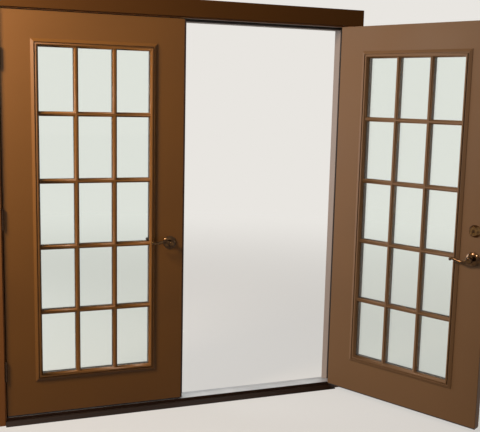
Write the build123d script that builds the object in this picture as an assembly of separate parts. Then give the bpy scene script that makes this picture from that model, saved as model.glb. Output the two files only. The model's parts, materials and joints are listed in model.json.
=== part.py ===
"""French doors: an inswing pair of fifteen-light doors hung in their own rebated frame.

The frame stands on its sill. X runs across the doorway, to the right as seen from indoors,
+Y points outdoors and +Z up. The origin is the middle of the sill's underside. The left leaf
is the held leaf: it is shut, and carries the astragal and the flush bolts. The right leaf is
the working leaf, and stands open into the room.
"""
import os

from build123d import *

# Leaves
leaf_width = 908.0
leaf_height = 2013.0
leaf_thickness = 44.5
leaf_arris = 1.5
right_leaf_open_angle = 118.0

# Gaps round the leaves
hinge_gap = 3.0
head_gap = 3.0
meeting_gap = 3.0
leaf_above_sill_cap = 8.0
seal_clearance = 0.3

# Frame members, rebated from thick stock
frame_depth = 116.0
jamb_thickness = 31.5
rebate_depth = 12.5
strip_space = 5.5
jamb_arris = 1.5
head_housing_depth = 6.0
kerf_width = 3.0
kerf_depth = 10.0
fixing_hole_radius = 2.5
fixing_from_indoors = 22.0

# Sill
sill_cap_height = 36.0
sill_cap_thickness = 16.0
sill_cap_past_leaf = 9.5
sill_cap_rounding = 3.0
sill_projection = 26.0
tread_metal = 2.2
tread_below_cap = 5.0
tread_front_height = 12.0
tread_rib_count = 7
tread_rib_width = 3.0
tread_rib_height = 0.8
tread_rib_margin = 9.0
sill_floor_of_bolt_hole = 4.4
nosing_depth = 34.0
nosing_height = 20.0
nosing_flat = 9.0
nosing_lip = 3.0

# Casing indoors and brick mould outdoors
casing_width = 89.0
casing_thickness = 14.0
casing_clear_of_hinge = 1.1
casing_arris = 2.0
casing_back_land = 20.0
casing_relief_depth = 2.5
mould_width = 50.8
mould_thickness = 31.75
mould_reveal = 10.0
mould_inner_thickness = 14.0
mould_fillet_width = 7.0
mould_cove_width = 16.0
mould_cove_hollow = 0.7
mould_outer_chamfer = 5.0
mould_back_land = 12.0
mould_relief_depth = 2.5

# Weatherstrips
strip_stem_clearance = 0.2
kerf_end_clearance = 1.0
strip_side_margin = 1.0
strip_bulb_share = 0.45

# Glazing: the leaf's margins round the moulded lite frame, and that frame's own section
stile_width = 142.0
top_rail_height = 131.0
bottom_rail_height = 172.0
lights_across = 3
lights_high = 5
lite_frame_width = 37.0
lite_frame_on_leaf = 17.0
lite_cutout_clearance = 1.0
lite_edge_height = 2.5
lite_bevel_width = 13.5
lite_bevel_height = 9.5
lite_flat_width = 2.0
lite_groove_width = 6.0
lite_groove_height = 4.0
lite_bead_width = 8.0
lite_bead_height = 11.0
lite_tape = 0.6
bar_width = 23.0
bar_edge_height = 2.0
bar_shoulder_width = 15.0
bar_shoulder_height = 4.5
bar_crown_width = 9.0
bar_above_leaf = 1.5
pane_thickness = 3.2
glass_unit_thickness = 25.4
glass_bite = 13.0
spacer_width = 11.0

# Hinges
hinge_height = 101.6
hinge_metal = 2.5
hinge_plate_reach = 30.0
hinge_corner_radius = 15.9
hinge_knuckle_radius = 6.4
hinge_pin_radius = 3.15
hinge_pin_clearance = 0.05
hinge_clear_of_face = 0.6
hinge_knuckles = 5
hinge_knuckle_gap = 0.25
hinge_pin_head_radius = 5.4
hinge_pin_head_height = 3.2
hinge_pin_foot_height = 1.6
hinge_from_foot = 237.0
hinge_from_head = 231.0
hinge_count = 3
hinge_screw_rows = 3
hinge_screw_pitch = 30.0
hinge_screw_stagger = 6.0
hinge_screw_edge = 13.0
screw_head_radius = 4.2
screw_shank_radius = 2.2
screw_head_depth = 2.2
screw_length = 19.0

# Door sweep
sweep_body = 3.0
sweep_side_margin = 2.0
sweep_fin_thickness = 1.6
sweep_fin_count = 3
sweep_fin_spacing = 15.0

# Astragal on the held leaf
astragal_web = 6.0
astragal_flange = 4.0
astragal_on_leaf = 18.0
astragal_overlap = 13.0
astragal_seal_space = 4.5
astragal_seal_width = 8.0
astragal_end_clearance = 2.0

# Flush bolts in the held leaf's meeting edge
flush_bolt_radius = 5.0
flush_bolt_bore_clearance = 0.3
flush_bolt_inset = 9.0
flush_bolt_length = 150.0
flush_bolt_throw = 16.0
flush_bolt_recess = 1.0
flush_plate_width = 19.0
flush_plate_length = 130.0
flush_plate_metal = 2.0
flush_plate_from_end = 30.0
flush_slot_width = 6.4
flush_slot_length = 34.0
flush_thumb_width = 5.6
flush_thumb_length = 14.0
flush_thumb_recess = 0.6
bolt_hole_radius = 6.5
strike_plate_metal = 1.5
strike_plate_width = 22.0
strike_plate_length = 48.0

# Locks
backset = 70.0
lever_height = 862.0
deadbolt_above_lever = 140.0
cross_bore_radius = 27.0
edge_bore_radius = 12.7
face_plate_width = 25.4
face_plate_height = 57.0
face_plate_metal = 3.0
face_plate_radius = 6.0
lock_tube_radius = 12.3
lock_tail_width = 11.0
lock_tail_height = 30.0
lock_tail_past_axis = 13.0
lock_tube_short_of_axis = 20.0
latch_radius = 7.6
latch_throw = 12.7
latch_length = 34.0
latch_bevel_start = 3.0
latch_bevel_land = 1.0
lock_bore_clearance = 0.3
lock_bore_end = 1.0
bolt_width = 12.0
bolt_height = 18.0
bolt_rounding = 4.0
bolt_throw = 25.4
bolt_length = 42.0
bolt_tip_recess = 0.4
strike_pocket_margin = 1.6
strike_pocket_end = 2.5
strike_width = 26.0
strike_length = 70.0

# Lever sets
rose_radius = 35.0
rose_thickness = 9.0
rose_rim = 3.0
rose_dome_share = 0.82
neck_radius = 9.5
neck_clearance = 0.3
hub_radius = 17.0
hub_start = 37.0
hub_depth = 20.0
hub_front_rounding = 8.0
hub_back_rounding = 4.0
lever_stand_off = 50.0
lever_reach = 104.0
lever_dip = 13.0
lever_crest = 3.5
lever_hook = 14.0
lever_in_at_tip = 6.0
lever_root_height = 22.0
lever_waist_height = 16.0
lever_crest_height = 14.5
lever_tip_height = 8.0
lever_root_thickness = 13.0
lever_waist_thickness = 10.5
lever_tip_thickness = 5.0
lever_bow = 1.0
lever_crest_in = 3.0
spindle_side = 8.0
spindle_bore_radius = 6.2

# The lever's wave: each place as a share of its reach, each depth as a share of a named one
lever_shoulder_at = 0.13
lever_trough_at = 0.30
lever_rise_at = 0.52
lever_slope_at = 0.73
lever_crest_at = 0.88
lever_bend_at = 0.97
lever_shoulder_of_dip = 0.45
lever_rise_of_dip = 0.85
lever_slope_of_crest = 1.4
lever_bend_of_hook = 0.55

# Deadbolt trim
collar_radius = 31.0
collar_face_radius = 22.0
collar_depth = 17.0
plug_radius = 8.4
plug_clearance = 0.3
plug_proud = 0.6
plug_length = 24.0
key_slot_width = 2.0
key_slot_height = 9.0
key_slot_depth = 6.0
turn_rose_radius = 31.0
turn_rose_depth = 7.0
turn_hub_radius = 8.0
turn_stand_off = 15.0
turn_blade_length = 38.0
turn_blade_height = 14.0
turn_blade_thickness = 8.0
turn_blade_seat = 2.0
turn_blade_rounding = 6.3
turn_blade_arris = 1.2
tail_bar_width = 5.6
tail_bar_thickness = 2.4

# Places worked out from the sizes above
leaf_bottom = sill_cap_height + leaf_above_sill_cap
leaf_top = leaf_bottom + leaf_height
leaf_edge_meeting = (astragal_web + meeting_gap) / 2
leaf_edge_hinge = leaf_edge_meeting + leaf_width
rebate_face = leaf_edge_hinge + hinge_gap
jamb_back = rebate_face + jamb_thickness - rebate_depth
stop_face = rebate_face - rebate_depth
indoor_face = -frame_depth / 2
outdoor_face = frame_depth / 2
leaf_outdoor = indoor_face + leaf_thickness
leaf_middle = indoor_face + leaf_thickness / 2
rebate_shoulder = leaf_outdoor + strip_space
head_rebate = leaf_top + head_gap
head_stop = head_rebate - rebate_depth
head_top = head_rebate + jamb_thickness - rebate_depth
pin_x = leaf_edge_hinge + hinge_gap / 2
pin_y = indoor_face - hinge_knuckle_radius - hinge_clear_of_face
pin_axis = Axis((pin_x, pin_y, 0), (0, 0, 1))
casing_inner = pin_x + hinge_knuckle_radius + casing_clear_of_hinge
casing_bottom = head_rebate + casing_inner - rebate_face
lite_width = leaf_width - 2 * stile_width
lite_height = leaf_height - top_rail_height - bottom_rail_height
glass_seen_width = lite_width - 2 * lite_frame_width
glass_seen_height = lite_height - 2 * lite_frame_width
glass_x = leaf_edge_meeting + leaf_width / 2
glass_z = leaf_bottom + bottom_rail_height + lite_height / 2
glass_recess = (leaf_thickness - glass_unit_thickness) / 2
lite_groove_start = lite_bevel_width + lite_flat_width
lite_groove_end = lite_groove_start + lite_groove_width
lite_bead_end = lite_groove_end + lite_bead_width
lock_x = leaf_edge_meeting + backset
lever_z = leaf_bottom + lever_height
deadbolt_z = lever_z + deadbolt_above_lever
lever_root_out = hub_start + hub_depth / 2
sill_cap_back = leaf_outdoor + sill_cap_past_leaf
sill_front = outdoor_face + sill_projection
tread_back_height = sill_cap_height - tread_below_cap
hinge_pitch = (leaf_height - hinge_from_head - hinge_from_foot) / (hinge_count - 1)
hinge_centres = [leaf_bottom + hinge_from_foot + i * hinge_pitch for i in range(hinge_count)]
astragal_edge = -leaf_edge_meeting
astragal_web_end = astragal_edge + astragal_web
astragal_top = head_stop - astragal_end_clearance
astragal_seal_face = leaf_outdoor + astragal_seal_space
astragal_flange_end = astragal_web_end + meeting_gap + astragal_overlap
bolt_x = astragal_edge - flush_bolt_inset
fixing_y = indoor_face + fixing_from_indoors


def block(x0, x1, y0, y1, z0, z1):
    """A rectangular solid between two corners."""
    return Pos((x0 + x1) / 2, (y0 + y1) / 2, (z0 + z1) / 2) * Box(x1 - x0, y1 - y0, z1 - z0)


def upright(points, z0, z1):
    """A straight length whose section lies in plan, from z0 up to z1."""
    section = make_face(Polyline(*points, close=True))
    return Pos(0, 0, z0) * extrude(section, z1 - z0)


def level(points, x0, x1):
    """A straight length whose section is drawn in (y, z), from x0 to x1."""
    section = Plane.YZ * make_face(Polyline(*points, close=True))
    return Pos(x0, 0, 0) * extrude(section, x1 - x0)


def across(section, half_length):
    """A length along X, even about the middle, whose section is drawn in (z, y)."""
    facing = Plane(origin=(half_length, 0, 0), x_dir=(0, 0, 1), z_dir=(-1, 0, 0))
    return extrude(facing * section, 2 * half_length)


def rod(radius, start, end):
    """A round bar from one point to another along an axis."""
    line = Vector(*end) - Vector(*start)
    bar = Cylinder(radius, line.length, align=(Align.CENTER, Align.CENTER, Align.MIN))
    return Plane(origin=start, z_dir=line) * bar


def mirrored(shape):
    """The same piece for the other hand of the doorway."""
    return mirror(shape, about=Plane.YZ)


def turned_over(shape):
    """A piece of a leaf's indoor face, as it lies on the outdoor face."""
    return mirror(shape, about=Plane.XZ.offset(-leaf_middle))


def upended(lever):
    """A lever of the other hand, whose wave rises from the hub before it falls."""
    return mirror(lever, about=Plane.XY.offset(lever_z))


def opened(shape):
    """A piece of the right leaf, swung from shut to where it stands."""
    return shape.rotate(pin_axis, right_leaf_open_angle)


def ring(x, z, half_width, half_height, width, y0, y1):
    """A flat rectangular ring in the leaf's plane, given by its outer size and its width."""
    outer = block(x - half_width, x + half_width, y0, y1, z - half_height, z + half_height)
    return outer - block(
        x - half_width + width, x + half_width - width, y0, y1,
        z - half_height + width, z + half_height - width,
    )


# Sill: a composite base, an aluminium tread and an aluminium saddle under the leaves


def tread_top(y):
    """Height of the sloping tread at a depth y."""
    fall = (tread_back_height - tread_front_height) / (sill_front - sill_cap_back)
    return tread_back_height - fall * (y - sill_cap_back)


def make_sill_base():
    """The composite core, flat underneath, stepped for the cap and sloped under the tread."""
    front = sill_front - tread_metal
    points = [
        (indoor_face, 0),
        (front, 0),
        (front, tread_top(front) - tread_metal),
        (sill_cap_back, tread_back_height - tread_metal),
        (sill_cap_back, sill_cap_height - sill_cap_thickness),
        (indoor_face, sill_cap_height - sill_cap_thickness),
    ]
    return level(points, -rebate_face, rebate_face)


def make_sill_tread():
    """The folded aluminium tread with its grip ribs and turned-down nose."""
    front = sill_front - tread_metal
    points = [
        (sill_cap_back, tread_back_height - tread_metal),
        (front, tread_top(front) - tread_metal),
        (front, 0),
        (sill_front, 0),
        (sill_front, tread_front_height),
        (sill_cap_back, tread_back_height),
    ]
    tread = level(points, -rebate_face, rebate_face)
    first = sill_cap_back + tread_rib_margin
    last = sill_front - tread_rib_margin
    pitch = (last - first) / (tread_rib_count - 1)
    for i in range(tread_rib_count):
        back = first + i * pitch - tread_rib_width / 2
        rib = [
            (back, tread_top(back) - tread_metal / 2),
            (back + tread_rib_width, tread_top(back + tread_rib_width) - tread_metal / 2),
            (back + tread_rib_width, tread_top(back + tread_rib_width) + tread_rib_height),
            (back, tread_top(back) + tread_rib_height),
        ]
        tread += level(rib, -rebate_face, rebate_face)
    return tread


def make_sill_cap():
    """The saddle that caps the sill, with eased edges, bored for the lower flush bolt."""
    cap = block(
        -rebate_face, rebate_face, indoor_face, sill_cap_back,
        sill_cap_height - sill_cap_thickness, sill_cap_height,
    )
    top_edges = cap.edges().filter_by(Axis.X).group_by(Axis.Z)[-1]
    cap = fillet(top_edges, sill_cap_rounding)
    return cap - bolt_hole(0)


def bolt_hole(bottom):
    """The hole in the sill that takes the lower flush bolt."""
    return rod(bolt_hole_radius, (bolt_x, leaf_middle, bottom), (bolt_x, leaf_middle, sill_cap_height))


def make_floor_nosing():
    """The hardwood strip that ramps from the sill down to the room's floor."""
    back = indoor_face
    front = indoor_face - nosing_depth
    points = [
        (back, 0),
        (back, nosing_height),
        (back - nosing_flat, nosing_height),
        (front, nosing_lip),
        (front, 0),
    ]
    nosing = level(points, -casing_inner, casing_inner)
    crest = nosing.edges().filter_by(Axis.X).sort_by(Axis.Z)[-2:].sort_by(Axis.Y)[0]
    return fillet(crest, sill_cap_rounding)


# Jambs and head


def jamb_section():
    """Plan of the right jamb: rebate, stop, and the kerf for the weatherstrip."""
    return [
        (jamb_back, indoor_face),
        (rebate_face + jamb_arris, indoor_face),
        (rebate_face, indoor_face + jamb_arris),
        (rebate_face, rebate_shoulder + kerf_depth),
        (rebate_face - kerf_width, rebate_shoulder + kerf_depth),
        (rebate_face - kerf_width, rebate_shoulder),
        (stop_face, rebate_shoulder),
        (stop_face, outdoor_face - jamb_arris),
        (stop_face + jamb_arris, outdoor_face),
        (jamb_back, outdoor_face),
    ]


def head_section():
    """The head's section, in (y, z)."""
    lower = head_rebate
    return [
        (indoor_face, head_top),
        (indoor_face, lower + jamb_arris),
        (indoor_face + jamb_arris, lower),
        (rebate_shoulder + kerf_depth, lower),
        (rebate_shoulder + kerf_depth, lower - kerf_width),
        (rebate_shoulder, lower - kerf_width),
        (rebate_shoulder, head_stop),
        (outdoor_face - jamb_arris, head_stop),
        (outdoor_face, head_stop + jamb_arris),
        (outdoor_face, head_top),
    ]


def make_head_jamb():
    """The head, housed into both jambs, with its stop cut back to the rebate faces."""
    ends = rebate_face + head_housing_depth
    head = level(head_section(), -ends, ends)
    for side in (-1, 1):
        near, far = sorted((side * rebate_face, side * ends))
        head -= block(near, far, indoor_face, outdoor_face, head_stop, head_rebate)
    head -= rod(bolt_hole_radius, (bolt_x, leaf_middle, head_rebate), (bolt_x, leaf_middle, head_top))
    return head - make_head_strike()


def sill_cope():
    """The space that the sill takes from what stands on it."""
    outline = [
        (indoor_face, 0),
        (sill_front, 0),
        (sill_front, tread_front_height + tread_rib_height),
        (sill_cap_back, tread_back_height + tread_rib_height),
        (sill_cap_back, sill_cap_height),
        (indoor_face, sill_cap_height),
    ]
    return level(outline, 0, rebate_face)


def make_right_jamb(head, screws):
    """A jamb housed for the head, coped over the sill, mortised for hinges and drilled."""
    jamb = upright(jamb_section(), 0, head_top)
    jamb -= head
    jamb -= block(stop_face, rebate_face, indoor_face, outdoor_face, head_stop, head_top)
    jamb -= sill_cope()
    for z in hinge_centres:
        jamb -= hinge_plate(rebate_face, rebate_face + hinge_metal, z)
    for piece in screws:
        jamb -= piece
    for z in hinge_centres[:-1]:
        hole = z + hinge_pitch / 2
        jamb -= rod(fixing_hole_radius, (rebate_face, fixing_y, hole), (jamb_back, fixing_y, hole))
    return jamb


def make_side_casing():
    """The flat board round the doorway indoors, right side, its back relieved over the wall."""
    casing = block(
        casing_inner, casing_inner + casing_width, indoor_face - casing_thickness, indoor_face,
        0, casing_bottom,
    )
    front = casing.edges().filter_by(Axis.Z).group_by(Axis.Y)[0]
    relief = block(
        jamb_back, casing_inner + casing_width - casing_back_land,
        indoor_face - casing_relief_depth, indoor_face, 0, casing_bottom,
    )
    return chamfer(front, casing_arris) - relief


def make_head_casing():
    """The flat board over the doorway indoors, on top of the side boards."""
    outer = casing_inner + casing_width
    casing = block(
        -outer, outer, indoor_face - casing_thickness, indoor_face,
        casing_bottom, casing_bottom + casing_width,
    )
    front = casing.edges().filter_by(Axis.X).group_by(Axis.Y)[0]
    relief = block(
        -outer, outer, indoor_face - casing_relief_depth, indoor_face,
        head_top, casing_bottom + casing_width - casing_back_land,
    )
    return chamfer(front, casing_arris) - relief


def mould_profile(inner):
    """Brick mould section from its inner edge: a fillet, a cove, a thick edge, a relieved back."""
    cove_start = inner + mould_fillet_width
    cove_end = cove_start + mould_cove_width
    outer = inner + mould_width
    front = outdoor_face + mould_thickness
    thin = outdoor_face + mould_inner_thickness
    relief_start = inner + jamb_thickness - mould_reveal
    relief_end = outer - mould_back_land
    relief = outdoor_face + mould_relief_depth
    bend = cove_start + mould_cove_width * mould_cove_hollow
    sag = thin + (front - thin) * (1 - mould_cove_hollow)
    return Polyline(
        (cove_end, front),
        (outer - mould_outer_chamfer, front),
        (outer, front - mould_outer_chamfer),
        (outer, outdoor_face),
        (relief_end, outdoor_face),
        (relief_end, relief),
        (relief_start, relief),
        (relief_start, outdoor_face),
        (inner, outdoor_face),
        (inner, thin),
        (cove_start, thin),
    ) + ThreePointArc((cove_start, thin), (bend, sag), (cove_end, front))


def make_side_mould():
    """Right brick mould, mitred at the top."""
    inner = stop_face + mould_reveal
    top = head_stop + mould_reveal + mould_width
    mould = extrude(make_face(mould_profile(inner)), top)
    mitre = Plane(origin=(inner, 0, top - mould_width), z_dir=(-1, 0, 1))
    return split(mould, bisect_by=mitre, keep=Keep.BOTTOM) - sill_cope()


def make_head_mould():
    """Head brick mould, mitred at both ends."""
    inner = stop_face + mould_reveal
    outer = inner + mould_width
    bottom = head_stop + mould_reveal
    mould = across(make_face(mould_profile(bottom)), outer)
    for side in (-1, 1):
        mitre = Plane(origin=(side * inner, 0, bottom), z_dir=(-side, 0, 1))
        mould = split(mould, bisect_by=mitre, keep=Keep.TOP)
    return mould


# Weatherstrips: a barbed stem in the kerf and a rounded bulb against the leaf


def strip_profile(face):
    """Section from the rebate's face in towards the doorway."""
    stem_far = face - strip_stem_clearance
    stem_near = face - kerf_width + strip_stem_clearance
    stem_end = rebate_shoulder + kerf_depth - kerf_end_clearance
    near = face - rebate_depth + strip_side_margin
    tip = leaf_outdoor + seal_clearance
    middle = (stem_far + near) / 2
    shoulder = rebate_shoulder - (rebate_shoulder - tip) * strip_bulb_share
    return Polyline(
        (stem_far, shoulder),
        (stem_far, stem_end),
        (stem_near, stem_end),
        (stem_near, rebate_shoulder),
        (near, rebate_shoulder),
        (near, shoulder),
    ) + ThreePointArc((near, shoulder), (middle, tip), (stem_far, shoulder))


def make_side_strip():
    """Right jamb's weatherstrip, from the sill cap up to the head's stop."""
    bottom = sill_cap_height + seal_clearance
    return Pos(0, 0, bottom) * extrude(make_face(strip_profile(rebate_face)), head_stop - bottom)


def make_head_strip():
    """Head weatherstrip, from one rebate face to the other, over the jambs' strips."""
    return across(make_face(strip_profile(head_rebate)), rebate_face - strip_stem_clearance)


# Hinges


def hinge_plate(x0, x1, centre):
    """A hinge's flat leaf, let into wood between x0 and x1, round at its inner corners."""
    plate = block(
        x0, x1, indoor_face, indoor_face + hinge_plate_reach,
        centre - hinge_height / 2, centre + hinge_height / 2,
    )
    corners = plate.edges().filter_by(Axis.X).group_by(Axis.Y)[-1]
    return fillet(corners, hinge_corner_radius)


def knuckle_spans(centre, first):
    """Heights of every second knuckle, counted from the bottom."""
    pitch = hinge_height / hinge_knuckles
    bottom = centre - hinge_height / 2
    half_gap = hinge_knuckle_gap / 2
    return [
        (bottom + i * pitch + half_gap, bottom + (i + 1) * pitch - half_gap)
        for i in range(first, hinge_knuckles, 2)
    ]


def screw_points(centre):
    """Staggered screw places on a hinge leaf, as (y, z)."""
    places = []
    for i in range(hinge_screw_rows):
        stagger = hinge_screw_stagger if i % 2 else -hinge_screw_stagger
        y = indoor_face + hinge_screw_edge + stagger / 2
        z = centre + (i - (hinge_screw_rows - 1) / 2) * hinge_screw_pitch
        places.append((y, z))
    return places


def hinge_half(centre, surface_x, direction, first):
    """One half of a hinge, its leaf and knuckles. direction is 1 towards the jamb."""
    x0, x1 = sorted((surface_x, surface_x + direction * hinge_metal))
    half = hinge_plate(x0, x1, centre)
    for low, high in knuckle_spans(centre, first):
        half += block(x0, x1, pin_y, indoor_face, low, high)
        half += rod(hinge_knuckle_radius, (pin_x, pin_y, low), (pin_x, pin_y, high))
    bore = hinge_pin_radius + hinge_pin_clearance
    half -= rod(bore, (pin_x, pin_y, centre - hinge_height), (pin_x, pin_y, centre + hinge_height))
    for y, z in screw_points(centre):
        half -= screw(surface_x, direction, y, z, screw_length)
    return half


def screw(surface_x, direction, y, z, length):
    """A countersunk screw, flush with the surface at surface_x."""
    facing = Plane(origin=(surface_x, y, z), z_dir=(direction, 0, 0))
    head = facing * Cone(
        screw_head_radius, screw_shank_radius, screw_head_depth,
        align=(Align.CENTER, Align.CENTER, Align.MIN),
    )
    return head + rod(screw_shank_radius, (surface_x, y, z), (surface_x + direction * length, y, z))


def make_jamb_hinge_halves():
    """The three hinge leaves screwed to the right jamb."""
    return [hinge_half(z, rebate_face, 1, 0) for z in hinge_centres]


def make_leaf_hinge_halves():
    """The three hinge leaves screwed to the right leaf."""
    return [hinge_half(z, leaf_edge_hinge, -1, 1) for z in hinge_centres]


def make_hinge_pins():
    """Loose pins with a button head above and a plug below."""
    pins = []
    for z in hinge_centres:
        low = z - hinge_height / 2
        high = z + hinge_height / 2
        pin = rod(hinge_pin_radius, (pin_x, pin_y, low - hinge_pin_foot_height), (pin_x, pin_y, high))
        head = rod(hinge_pin_head_radius, (pin_x, pin_y, high), (pin_x, pin_y, high + hinge_pin_head_height))
        rim = head.edges().filter_by(GeomType.CIRCLE).sort_by(Axis.Z)[-1]
        pins.append(pin + fillet(rim, hinge_pin_head_height / 2))
    return pins


def make_hinge_screws(surface_x, direction):
    """Countersunk screws of the three hinge leaves on one side of the gap."""
    screws = []
    for centre in hinge_centres:
        for y, z in screw_points(centre):
            screws.append(screw(surface_x, direction, y, z, screw_length))
    return screws


# Leaves, drawn as the right one, shut


def lite_opening():
    """The hole through a leaf for the glazing, which the lite frame overlaps all round."""
    half_width = lite_width / 2 - lite_frame_on_leaf
    half_height = lite_height / 2 - lite_frame_on_leaf
    return block(
        glass_x - half_width, glass_x + half_width, indoor_face, leaf_outdoor,
        glass_z - half_height, glass_z + half_height,
    )


def make_slab():
    """A leaf with eased edges, its glazing cut-out and its hinge mortises."""
    slab = block(
        leaf_edge_meeting, leaf_edge_hinge, indoor_face, leaf_outdoor, leaf_bottom, leaf_top,
    )
    slab = chamfer(slab.edges().filter_by(Axis.Z), leaf_arris)
    slab -= lite_opening()
    for z in hinge_centres:
        slab -= hinge_plate(leaf_edge_hinge - hinge_metal, leaf_edge_hinge, z)
    for piece in make_hinge_screws(leaf_edge_hinge, -1):
        slab -= piece
    return slab


def lite_frame_profile():
    """The moulded frame's section, as (distance in from its outer edge, height off the leaf)."""
    seat = lite_tape - glass_recess
    leg = lite_frame_on_leaf + lite_cutout_clearance
    bead_middle = (lite_groove_end + lite_bead_end) / 2
    rim = Polyline(
        (lite_bead_end, lite_bevel_height),
        (lite_frame_width, seat + lite_edge_height),
        (lite_frame_width, seat),
        (leg, seat),
        (leg, 0),
        (0, 0),
        (0, lite_edge_height),
        (lite_bevel_width, lite_bevel_height),
        (lite_groove_start, lite_bevel_height),
        (lite_groove_start, lite_groove_height),
        (lite_groove_end, lite_groove_height),
        (lite_groove_end, lite_bevel_height),
    )
    bead = ThreePointArc(
        (lite_groove_end, lite_bevel_height),
        (bead_middle, lite_bead_height),
        (lite_bead_end, lite_bevel_height),
    )
    return rim + bead


def make_lite_frame():
    """The moulded frame with its glazing bars in one piece, for the indoor face."""
    near = glass_x - lite_width / 2
    far = glass_x + lite_width / 2
    low = glass_z - lite_height / 2
    high = glass_z + lite_height / 2
    facing = Plane(origin=(near, indoor_face, glass_z), x_dir=(1, 0, 0), z_dir=(0, 0, 1))
    section = facing * mirror(make_face(lite_frame_profile()), about=Plane.XZ)
    path = Polyline(
        (near, indoor_face, glass_z),
        (near, indoor_face, high),
        (far, indoor_face, high),
        (far, indoor_face, low),
        (near, indoor_face, low),
        close=True,
    )
    frame = sweep(section, path=path, transition=Transition.RIGHT)
    return frame + make_bars()


def bar_section():
    """A glazing bar's stepped section, as (across, height off its seat)."""
    crown = glass_recess - lite_tape + bar_above_leaf
    return [
        (-bar_width / 2, 0),
        (-bar_width / 2, bar_edge_height),
        (-bar_shoulder_width / 2, bar_shoulder_height),
        (-bar_crown_width / 2, crown),
        (bar_crown_width / 2, crown),
        (bar_shoulder_width / 2, bar_shoulder_height),
        (bar_width / 2, bar_edge_height),
        (bar_width / 2, 0),
    ]


def bar_places(count, seen, centre):
    """Centres of the bars that divide a length of glass into equal lights."""
    light = (seen - (count - 1) * bar_width) / count
    first = centre - seen / 2 + light + bar_width / 2
    return [first + i * (light + bar_width) for i in range(count - 1)]


def make_bars():
    """The crossing glazing bars on the indoor face."""
    seat = indoor_face + glass_recess - lite_tape
    reach = lite_frame_width - lite_bead_end
    low = glass_z - glass_seen_height / 2 - reach
    high = glass_z + glass_seen_height / 2 + reach
    near = glass_x - glass_seen_width / 2 - reach
    far = glass_x + glass_seen_width / 2 + reach
    bars = []
    for x in bar_places(lights_across, glass_seen_width, glass_x):
        bars.append(upright([(x + a, seat - h) for a, h in bar_section()], low, high))
    for z in bar_places(lights_high, glass_seen_height, glass_z):
        bars.append(level([(seat - h, z + a) for a, h in bar_section()], near, far))
    return bars


def make_glass_panes():
    """Two panes of the sealed glazing unit."""
    half_width = glass_seen_width / 2 + glass_bite
    half_height = glass_seen_height / 2 + glass_bite
    glass_face = leaf_middle - glass_unit_thickness / 2
    pane = block(
        glass_x - half_width, glass_x + half_width, glass_face, glass_face + pane_thickness,
        glass_z - half_height, glass_z + half_height,
    )
    return [pane, turned_over(pane)]


def make_glass_spacer():
    """The metal spacer that holds the two panes apart round their edge."""
    depth = glass_unit_thickness / 2 - pane_thickness
    return ring(
        glass_x, glass_z, glass_seen_width / 2 + glass_bite, glass_seen_height / 2 + glass_bite,
        spacer_width, leaf_middle - depth, leaf_middle + depth,
    )


def make_lite_tape():
    """The glazing tape between the two lite frames and the glass."""
    glass_face = leaf_middle - glass_unit_thickness / 2
    band = ring(
        glass_x, glass_z, glass_seen_width / 2 + glass_bite, glass_seen_height / 2 + glass_bite,
        glass_bite, glass_face - lite_tape, glass_face,
    )
    return [band, turned_over(band)]


def make_sweep():
    """The finned vinyl sweep under a leaf."""
    top = leaf_bottom
    body = block(
        leaf_edge_meeting + sweep_side_margin, leaf_edge_hinge - sweep_side_margin,
        indoor_face + sweep_side_margin, leaf_outdoor - sweep_side_margin,
        top - sweep_body, top,
    )
    for i in range(sweep_fin_count):
        y = leaf_middle + (i - (sweep_fin_count - 1) / 2) * sweep_fin_spacing
        body += block(
            leaf_edge_meeting + sweep_side_margin, leaf_edge_hinge - sweep_side_margin,
            y - sweep_fin_thickness / 2, y + sweep_fin_thickness / 2,
            sill_cap_height + seal_clearance, top - sweep_body / 2,
        )
    return body


# Astragal and flush bolts of the held leaf


def make_astragal():
    """The T-shaped astragal: a web on the leaf's edge, up to its top, and a flange outdoors."""
    back = astragal_edge - astragal_on_leaf
    flange_face = astragal_seal_face + astragal_flange
    web = block(astragal_edge, astragal_web_end, indoor_face, leaf_outdoor, leaf_bottom, leaf_top)
    flange = upright(
        [
            (back, leaf_outdoor),
            (astragal_web_end, leaf_outdoor),
            (astragal_web_end, astragal_seal_face),
            (astragal_flange_end, astragal_seal_face),
            (astragal_flange_end, flange_face),
            (back + astragal_flange, flange_face),
            (back, astragal_seal_face),
        ],
        leaf_bottom,
        astragal_top,
    )
    astragal = web + flange
    for end in (-1, 1):
        astragal -= flush_plate_space(end)
    for z, half_width, half_height in strike_holes():
        astragal -= strike_hole(z, half_width, half_height, astragal_edge, astragal_web_end)
        astragal -= strike_body(z)
    return astragal


def make_astragal_seal():
    """The compressible seal in the flange, against the working leaf's outdoor face."""
    x1 = astragal_flange_end - strip_side_margin
    x0 = x1 - astragal_seal_width
    tip = leaf_outdoor + seal_clearance
    shoulder = astragal_seal_face - (astragal_seal_face - tip) * strip_bulb_share
    section = Polyline(
        (x0, shoulder),
        (x0, astragal_seal_face),
        (x1, astragal_seal_face),
        (x1, shoulder),
    ) + ThreePointArc((x1, shoulder), ((x0 + x1) / 2, tip), (x0, shoulder))
    return Pos(0, 0, leaf_bottom) * extrude(make_face(section), astragal_top - leaf_bottom)


def leaf_end(end):
    """Height of the leaf's top, where end is 1, or of its foot, where end is -1."""
    return leaf_top if end > 0 else leaf_bottom


def flush_ends(end):
    """Lowest and highest point of the face plate at one end of the leaf."""
    outer = leaf_end(end) - end * flush_plate_from_end
    return sorted((outer, outer - end * flush_plate_length))


def flush_plate_space(end):
    """The opening through the astragal's web in which a face plate sits."""
    low, high = flush_ends(end)
    half = flush_plate_width / 2
    return block(astragal_edge, astragal_web_end, leaf_middle - half, leaf_middle + half, low, high)


def flush_slot_centre(end):
    """Height of the middle of the thumb slide's slot."""
    return sum(flush_ends(end)) / 2


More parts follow.
